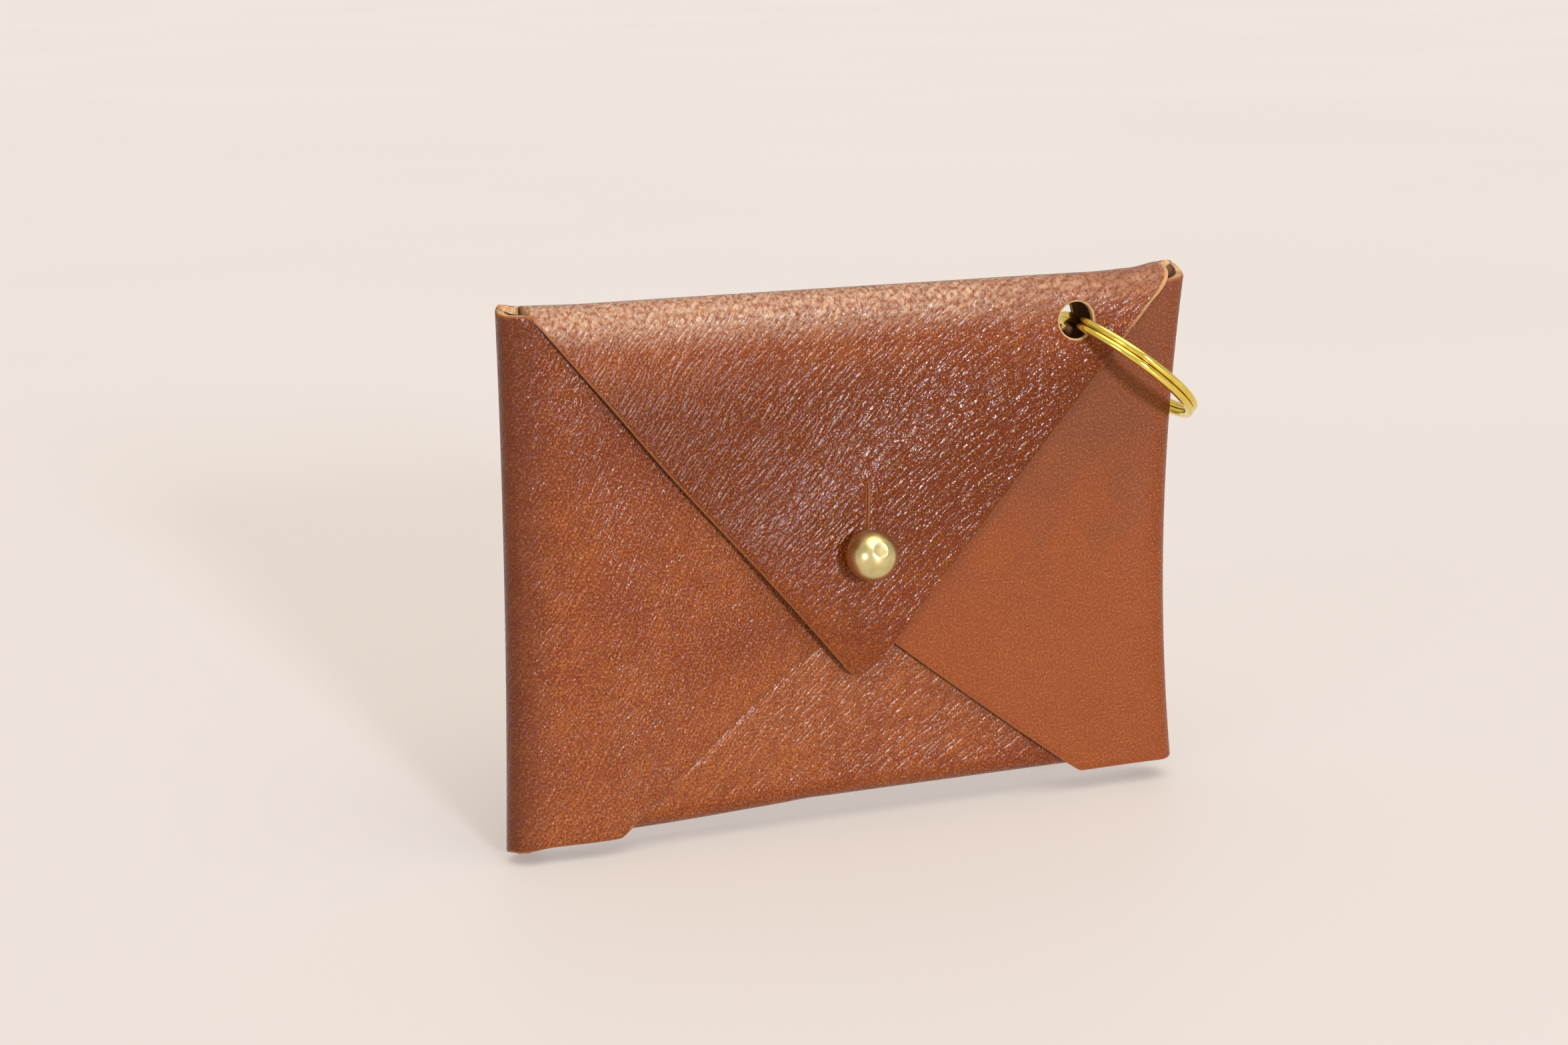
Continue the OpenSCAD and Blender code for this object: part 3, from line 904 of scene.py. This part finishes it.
def grain_material():
    """Pebbled, lightly glazed grain side, worn pale along its cut edges."""
    n = Nodes("leather_grain")
    flat, u, v, edge = cut_map(n)
    zone = grain_zones(n, flat, u, v)
    groove, strength, height = grain_relief(n, flat, u, v, zone)
    body = grain_colour(n, flat, u, v, zone, groove, strength)
    worn = n.times(n.span(edge, 0.4, 0.05), 0.6)
    n.set(Base_Color=n.layered(body, [
        (worn, colour(150, 92, 50)),
        (n.times(zone.corner_edge, n.span(edge, 0.75, 0.35)), colour(178, 132, 88)),
        # painted highlight and raw-edge colour: a pale ring round the ring hole stands in for its lit cut
        # wall
        (n.times(zone.ring_hole, n.span(edge, 0.36, 0.14)), colour(184, 150, 110))]))
    n.set(Roughness=n.total(n.span(n.noise(flat, 0.7, 2.0), 0.3, 0.7, 0.2, 0.27, False),
                            n.times(zone.right_flap, 0.25),
                            n.times(n.span(v, 84.0, 92.0), n.span(u, -35.0, 18.0, 0.1, -0.06)),
                            n.times(worn, 0.2)))
    n.shader.inputs["Specular IOR Level"].default_value = 0.22
    low = n.bump(n.noise(flat, 0.4, 2.0), 0.06)
    n.set(Normal=n.bump(height, 0.105, 1.0, low))
    return n.material


def flesh_material():
    """Fuzzy inner side of the leather."""
    n = Nodes("leather_flesh")
    flat = cut_map(n)[0]
    fibre = n.noise(n.scaled(flat, (1.0, 0.45, 1.0)), 3.2, 4.0, 0.7)
    cloud = n.noise(flat, 0.25, 3.0)
    body = n.mix(n.span(cloud, 0.3, 0.7), colour(120, 80, 52), colour(150, 104, 70))
    body = n.mix(n.span(fibre, 0.35, 0.7, 0.0, 0.6), body, colour(176, 132, 94))
    n.set(Base_Color=body, Roughness=n.span(fibre, 0.2, 0.8, 0.95, 0.8))
    n.shader.inputs["Specular IOR Level"].default_value = 0.2
    n.shader.inputs["Sheen Weight"].default_value = 0.25
    n.shader.inputs["Sheen Roughness"].default_value = 0.5
    n.set(Normal=n.bump(fibre, 0.12))
    return n.material


def edge_material():
    """Raw cut edge: pale tan fibre with darker surfaces on both sides."""
    n = Nodes("leather_cut_edge")
    flat, u, v, depth = cut_map(n)
    place = n.make("ShaderNodeTexCoord", output=3)
    fibre = n.noise(place, 2600.0, 3.0, 0.7)
    body = n.mix(n.span(fibre, 0.3, 0.7), colour(160, 118, 78), colour(206, 168, 120))
    body = n.mix(n.span(n.noise(flat, 0.4, 2.0), 0.4, 0.7, 0.0, 0.6), body, colour(142, 98, 66))
    # on the flaps the edge is dark but for its outer quarter
    flap = n.math("MAXIMUM", n.span(n.math("ABSOLUTE", u), 60.0, 64.0),
                  n.math("MAXIMUM", n.span(n.math("ADD", v, n.span(u, 10.0, -10.0, 0.0, 9.0)), 89.0, 95.0),
                         n.span(v, 2.0, -2.0)))
    inner = n.math("MULTIPLY", flap, n.span(n.math("MULTIPLY", depth, -1.0), 0.02, 0.3))
    body = n.mix(inner, body, colour(52, 24, 14))
    n.set(Base_Color=body, Roughness=n.span(fibre, 0.2, 0.8, 0.9, 0.7))
    n.shader.inputs["Specular IOR Level"].default_value = 0.3
    n.set(Normal=n.bump(fibre, 0.08))
    return n.material


def brass_material(name, base, tint, rough_low, rough_high, brushed):
    """Brass with faint tarnish, and fine turning or wear marks."""
    n = Nodes(name)
    place = n.scaled(n.make("ShaderNodeTexCoord", output=3), (1 / MM, 1 / MM, 1 / MM))
    cloud = n.noise(place, 0.8, 3.0)
    marks = n.noise(n.scaled(place, (1.0, 3.0, 1.0)), 0.7, 3.0, 0.6)
    body = n.mix(n.span(cloud, 0.35, 0.7), base, tint)
    n.set(Base_Color=body, Roughness=n.span(marks, 0.3, 0.7, rough_low, rough_high))
    n.shader.inputs["Metallic"].default_value = 1.0
    n.set(Normal=n.bump(marks, brushed))
    return n.material


# ---------------------------------------------------------------- surroundings
def floor_material():
    n = Nodes("floor_cream")
    place = n.make("ShaderNodeTexCoord", output=3)
    body = n.mix(n.span(n.noise(place, 3.0, 2.0), 0.3, 0.7), (0.41, 0.402, 0.409, 1), (0.42, 0.414, 0.422, 1))
    n.set(Base_Color=body, Roughness=0.55)
    # a faint glow of its own keeps the shadows as light as on a light table
    n.set(Emission_Color=(0.28, 0.235, 0.2, 1), Emission_Strength=1.0)
    n.shader.inputs["Specular IOR Level"].default_value = 0.25
    return n.material


def make_floor():
    size = 12.0
    mesh = bpy.data.meshes.new("floor")
    corners = [(-size, -size, 0), (size, -size, 0), (size, size, 0), (-size, size, 0)]
    mesh.from_pydata(corners, [], [(0, 1, 2, 3)])
    mesh.materials.append(floor_material())
    floor = bpy.data.objects.new("floor", mesh)
    bpy.context.scene.collection.objects.link(floor)


def soft_light(name, azimuth, elevation, spread, strength, tint):
    """A far soft light. Azimuth is to the right of the holder's front, and spread is the width it
    is seen at from the holder. Angles are in degrees."""
    azimuth, elevation = math.radians(azimuth), math.radians(elevation)
    away = Vector((math.sin(azimuth) * math.cos(elevation), -math.cos(azimuth) * math.cos(elevation),
                   math.sin(elevation)))
    data = bpy.data.lights.new(name, "SUN")
    data.angle, data.energy, data.color = math.radians(spread), strength, tint
    light = bpy.data.objects.new(name, data)
    light.location = away
    light.rotation_mode = "QUATERNION"
    light.rotation_quaternion = (-away).to_track_quat("-Z", "Y")
    bpy.context.scene.collection.objects.link(light)


def make_lights():
    soft_light("front_window", 3, 14, 8, 2.65, (0.88, 0.91, 1.0))
    soft_light("front_softbox", -6, 58, 34, 0.3, (1.0, 0.93, 0.84))
    soft_light("top_softbox", 10, 70, 60, 1.5, (1.0, 0.88, 0.72))
    soft_light("left_window", -56, 6, 16, 0.55, (0.88, 0.86, 1.0))
    world = bpy.data.worlds.new("studio")
    bpy.context.scene.world = world
    world.use_nodes = True
    background = world.node_tree.nodes["Background"]
    background.inputs["Color"].default_value = (1.0, 0.95, 0.9, 1)
    background.inputs["Strength"].default_value = 0.66


def make_camera():
    """The camera stands 21.5 degrees to the left of the holder's front and looks 12.5 degrees down."""
    yaw, pitch, roll = (math.radians(a) for a in (21.4816, 12.534, -0.6456))
    data = bpy.data.cameras.new("camera")
    data.sensor_width, data.lens = 36.0, 61.22
    data.clip_start = 0.01
    camera = bpy.data.objects.new("camera", data)
    camera.location = placed([-147.44, -347.17, 128.33])
    turn = Matrix.Rotation(-yaw, 4, "Z") @ Matrix.Rotation(math.radians(90) - pitch, 4, "X")
    camera.rotation_mode = "QUATERNION"
    camera.rotation_quaternion = (turn @ Matrix.Rotation(roll, 4, "Z")).to_quaternion()
    bpy.context.scene.collection.objects.link(camera)
    bpy.context.scene.camera = camera


# ---------------------------------------------------------------- the object
def make_leather():
    materials = [grain_material(), flesh_material(), edge_material()]
    holes = [circle_path(in_blank(STUD.x, STUD.z), SHANK_R)
             for in_blank in (left_flat, right_flat, bottom_flat)]
    body, flat, area = leather_mesh("leather_body", body_surface, body_outline(), SEAM[::-1], holes,
                                    materials)
    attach(body, "holder")
    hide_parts("back_panel", "left_fold", "left_flap", "right_fold", "right_flap", "bottom_fold",
                "bottom_flap")
    punched = [circle_path(top_flat(HOLE.x, HOLE.z), HOLE_R), circle_path((HOLE.x, HOLE.z), HOLE_R),
               buttonhole()]
    flap, flat, area = leather_mesh("leather_top_flap", top_surface, top_outline(), SEAM, punched, materials)
    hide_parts("top_fold", "top_flap")
    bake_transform(flap)


def make_metal():
    satin = brass_material("stud_brass", colour(220, 206, 152), colour(208, 192, 132), 0.24, 0.3, 0.0015)
    polished = brass_material("ring_brass", colour(240, 216, 108), colour(228, 202, 92), 0.07, 0.12, 0.0006)
    for piece, node, body, slot in ((stud_head(satin), "stud_head", "holder", "stud_brass"),
                                    (stud_screw(satin), "stud_screw", "holder", "stud_brass"),
                                    (split_ring(polished), "key_ring", "ring", "ring_brass")):
        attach(piece, body)
        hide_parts(node)


bpy.context.scene.view_settings.view_transform = "Standard"
make_camera()
make_floor()
make_lights()
make_leather()
make_metal()
